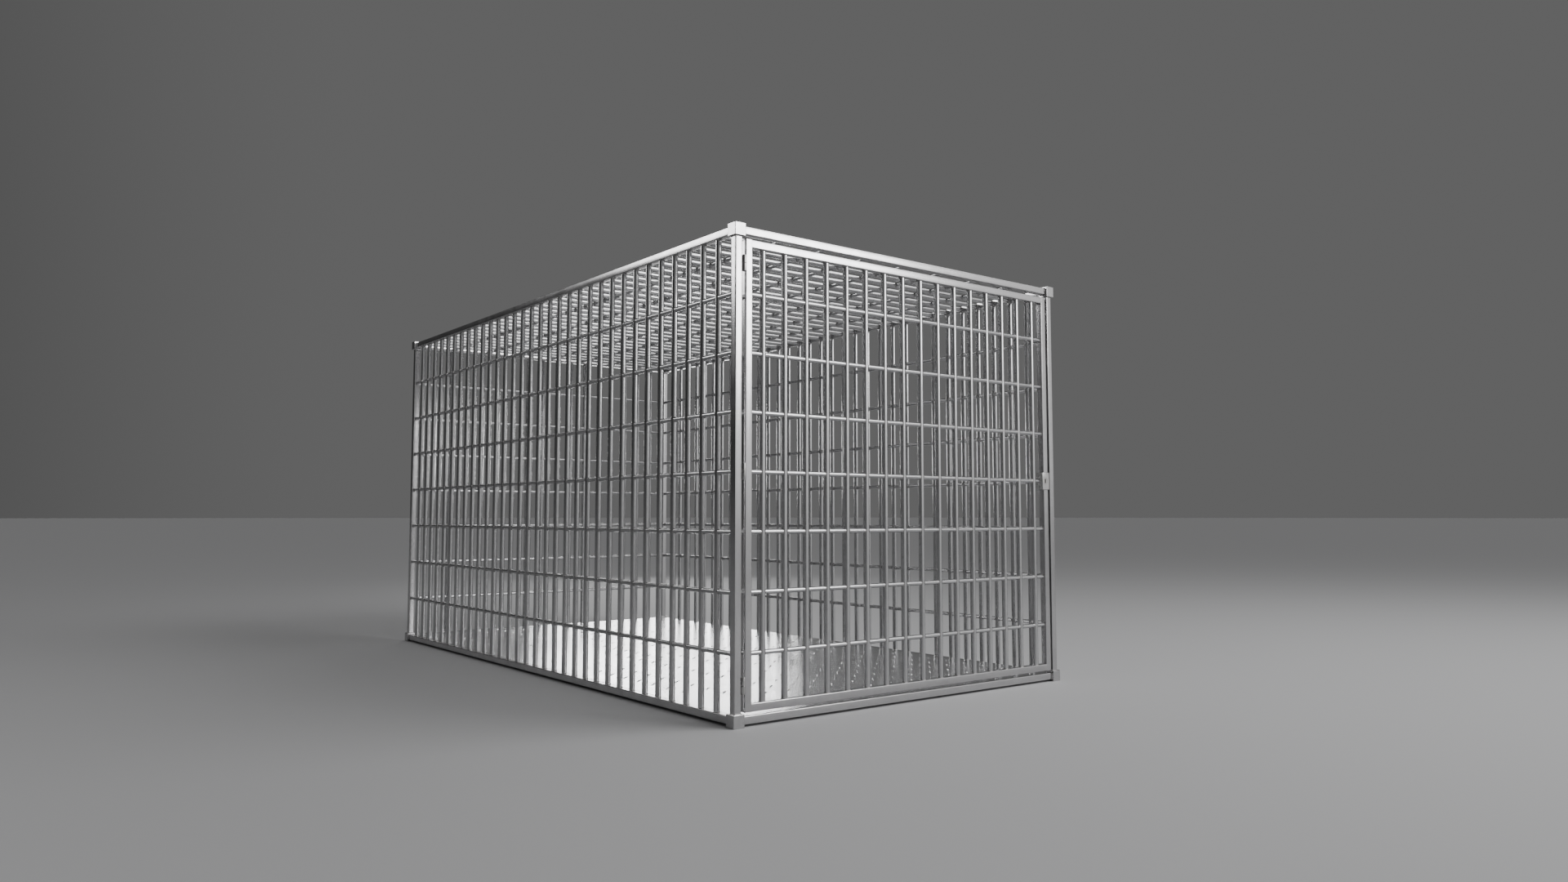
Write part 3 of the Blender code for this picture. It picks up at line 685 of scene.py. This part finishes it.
def hinges():
    for level in HINGE_LEVELS:
        stem = "hinge_" + level
        low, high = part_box(stem + "_door_knuckle")
        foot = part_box(stem + "_post_knuckle")[0][2]
        centre = Vector(((low[0] + high[0]) / 2, (low[1] + high[1]) / 2, (foot + high[2]) / 2))
        radius = (high[1] - low[1]) / 2
        half = high[2] - centre.z
        inner = low[2] - centre.z
        upper = barrel_profile(radius, half, inner)
        lower = [(ring, -height) for ring, height in upper]
        low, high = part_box(stem + "_pin")
        pin = pin_profile((high[2] - low[2]) / 2)
        low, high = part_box(stem + "_washer")
        washer = washer_profile((high[0] - low[0]) / 2, (high[2] - low[2]) / 2)
        for label, profile, body, standing_for in (
                ("_upper_barrel", upper, "door", "_door_knuckle"),
                ("_lower_barrel", lower, "cage", "_post_knuckle"),
                ("_pivot_pin", pin, "cage", "_pin"),
                ("_thrust_washer", washer, "cage", "_washer")):
            shape = turned_shape(profile, centre)
            add_piece(stem + label, shape, HINGE_STEEL, body, [stem + standing_for])
        end = half - BARREL_EDGE
        start = inner + BEAD
        weld_bead(stem + "_door_weld", "door", centre + Vector((radius, 0, 0)), start, end)
        weld_bead(stem + "_post_weld", "cage", centre - Vector((radius, 0, 0)), -end, -start)


def weld_bead(name, body, foot, start, end):
    """A rippled weld bead that runs upright down a barrel's side, where it meets the frame."""
    shape = bmesh.new()
    loops = []
    for step in range(BEAD_STEPS + 1):
        along = 2 * step / BEAD_STEPS - 1
        ripple = 1 + RIPPLE * math.sin(RIPPLE_TURN * step)
        radius = BEAD * math.sqrt(1 - along ** 4) * ripple + BEAD_TIP
        height = start + (end - start) * step / BEAD_STEPS
        loop = []
        for angle in turns(BEAD_SIDES):
            forward = BEAD_FORWARD * BEAD + radius * math.sin(angle)
            loop.append(foot + Vector((radius * math.cos(angle), forward, height)))
        loops.append(loop)
    rings = add_loops(shape, loops)
    shape.faces.new(rings[0])
    shape.faces.new(rings[-1])
    add_piece(name, shape, WELD_STEEL, body, [], SHARP_WELD)


# ---- lock, strike and caps ----------------------------------------------------------------------
def softened(name, material, body, width):
    """A piece with its CAD node's own shape, cleaned to whole faces and with its edges rounded."""
    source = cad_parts[name]
    shape = bmesh.new()
    shape.from_mesh(source.data)
    shape.transform(source.matrix_world)
    bmesh.ops.remove_doubles(shape, verts=shape.verts, dist=MERGE)
    bmesh.ops.dissolve_limit(
        shape, angle_limit=math.radians(FLAT), verts=shape.verts, edges=shape.edges)
    piece = add_piece(name + "_finished", shape, material, body, [name], SHARP_SOFT)
    soften(piece, width, SOFT_EDGE_STEPS)


def keyhole_loop(place, shrink, height):
    """As many points as a barrel's ring, round an upright slot with round ends."""
    radius = KEYHOLE_WIDTH / 2 - shrink
    reach = KEYHOLE_HEIGHT / 2 - KEYHOLE_WIDTH / 2
    loop = []
    for angle in turns(BARREL_SIDES, 0.5):
        end = math.copysign(reach, math.sin(angle))
        point = Vector((radius * math.cos(angle), end + radius * math.sin(angle), height))
        loop.append(place @ point)
    return loop


def lock_plug():
    """The plug with a round-ended keyhole; local +Z is its front, towards the outside."""
    low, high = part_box("lock_plug")
    radius = (high[2] - low[2]) / 2
    place = Matrix.Translation(((low[0] + high[0]) / 2, low[1], (low[2] + high[2]) / 2))
    place = place @ Matrix.Rotation(math.pi / 2, 4, "X")
    angles = turns(BARREL_SIDES, 0.5)
    loops = []
    for ring, height in ((radius, low[1] - high[1]), (radius, -PLUG_EDGE), (radius - PLUG_EDGE, 0.0)):
        loops.append([
            place @ Vector((ring * math.cos(a), ring * math.sin(a), height)) for a in angles])
    for shrink, height in ((-KEYHOLE_EDGE, 0.0), (0.0, -KEYHOLE_EDGE), (0.0, -KEYHOLE_DEPTH)):
        loops.append(keyhole_loop(place, shrink, height))
    shape = bmesh.new()
    rings = add_loops(shape, loops)
    shape.faces.new(rings[0])
    shape.faces.new(rings[-1])
    add_piece("lock_plug_finished", shape, PLUG_METAL, "lock_plug", ["lock_plug"])
    # A near-black sheet of painted shade just inside the keyhole's walls and floor, standing for its
    # shadow.
    bottom = SHADE_SHEET_INSET - KEYHOLE_DEPTH
    loops = []
    for shrink, height in ((SHADE_SHEET_INSET, -KEYHOLE_EDGE), (SHADE_SHEET_INSET, bottom), (3 * SHADE_SHEET_INSET, bottom)):
        loops.append(keyhole_loop(place, shrink, height))
    shade_sheet = bmesh.new()
    rings = add_loops(shade_sheet, loops)
    shade_sheet.faces.new(rings[-1])
    add_piece("lock_keyhole_painted_shade", shade_sheet, KEYHOLE_SHADE_PAINT, "lock_plug", [])


def lock_and_strike():
    for name, body, width in LOCK_PARTS:
        softened(name, LOCK_STEEL, body, width)
    lock_plug()
    for name in sorted(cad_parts):
        if "_cap_" in name:
            softened(name, FRAME_STEEL["Z"], "door", CAP_EDGE)


# ---- studio -------------------------------------------------------------------------------------
LAMPS = (
    # name, place, aim, width, height, brightness, only in reflections
    ("front_right", (1.9, -4.6, 2.15), (-0.6, -1.1, 1.2), 2.0, 1.5, 8.5, True),
    ("back_left", (-2.9, 2.2, 2.45), (-0.6, -1.1, 1.2), 1.5, 1.1, 6.0, True),
    ("back_right", (2.6, 4.4, 1.05), (-0.4, -0.5, 0.0), 2.2, 0.8, 10.0, True),
    ("overhead", (2.2, -3.4, 4.4), (1.6, -2.8, 0.0), 3.6, 3.6, 2.6, False))
FLOOR_TONE = (0.72, 0.72, 0.73)
FLOOR_ROUGHNESS = 0.8
FLOOR_REACH = 400.0
GLOW_FROM = (0.45, -0.88, 0.12)
SHADE_FROM = (-0.90, 0.43, 0.0)
GLOW_SPAN = (0.40, 0.99)     # from here to here, on towards()'s scale, the glow comes up
SHADE_SPAN = (0.15, 0.85)
BACKDROP = 0.125
GLOW = 0.85
SHADE = 0.10
LENS = 24.44                 # millimetres, as is the sensor's width
SENSOR = 36.0
EYE = (-2.057, -3.176, 0.4926)
EYE_RAISED = 4.067           # degrees above the horizon
EYE_HEADING = -38.079        # degrees from +Y, seen from above


def studio():
    shape = bmesh.new()
    bmesh.ops.create_grid(shape, x_segments=1, y_segments=1, size=FLOOR_REACH)
    ground = to_object("stage_floor", shape)
    ground.data.materials.append(new_material("stage_floor", FLOOR_TONE, FLOOR_ROUGHNESS, 0.0)[0])
    surroundings()
    for name, place, aim, width, height, brightness, reflected_only in LAMPS:
        lamp = bpy.data.lights.new(name, "AREA")
        lamp.shape = "ELLIPSE"
        lamp.size = width
        lamp.size_y = height
        lamp.energy = brightness * math.pi * width * height
        light = bpy.data.objects.new(name, lamp)
        light.location = place
        light.rotation_euler = (Vector(aim) - Vector(place)).to_track_quat("-Z", "Y").to_euler()
        light.visible_camera = False
        light.visible_diffuse = not reflected_only
        bpy.context.scene.collection.objects.link(light)


def towards(tree, place, direction):
    """How far the place on the backdrop lies towards a direction, from -1 to 1."""
    made = tree.nodes.new("ShaderNodeVectorMath")
    made.operation = "DOT_PRODUCT"
    tree.links.new(place, made.inputs[0])
    made.inputs[1].default_value = Vector(direction).normalized()
    return made.outputs["Value"]


def surroundings():
    """A soft grey room, lighter in front on the right and darker behind on the left."""
    world = bpy.data.worlds.new("studio")
    bpy.context.scene.world = world
    world.use_nodes = True
    tree = world.node_tree
    place = tree.nodes.new("ShaderNodeTexCoord").outputs["Generated"]
    to_glow = towards(tree, place, GLOW_FROM)
    glow = ramp(tree, to_glow, GLOW_SPAN, BACKDROP, BACKDROP + GLOW, "EASE")
    shade = ramp(tree, towards(tree, place, SHADE_FROM), SHADE_SPAN, 0.0, SHADE, "EASE")
    background = tree.nodes["Background"]
    tree.links.new(mix_colour(tree, 1.0, glow, shade, "SUBTRACT"), background.inputs["Color"])
    background.inputs["Strength"].default_value = 1.0


def camera():
    view = bpy.data.cameras.new("camera")
    view.lens = LENS
    view.sensor_width = SENSOR
    view.dof.use_dof = False
    eye = bpy.data.objects.new("camera", view)
    eye.location = EYE
    eye.rotation_euler = (math.radians(90 + EYE_RAISED), 0.0, math.radians(EYE_HEADING))
    bpy.context.scene.collection.objects.link(eye)
    bpy.context.scene.camera = eye


frame_tubes()
corner_blocks()
grilles()
floor_plate()
hinges()
lock_and_strike()
studio()
camera()
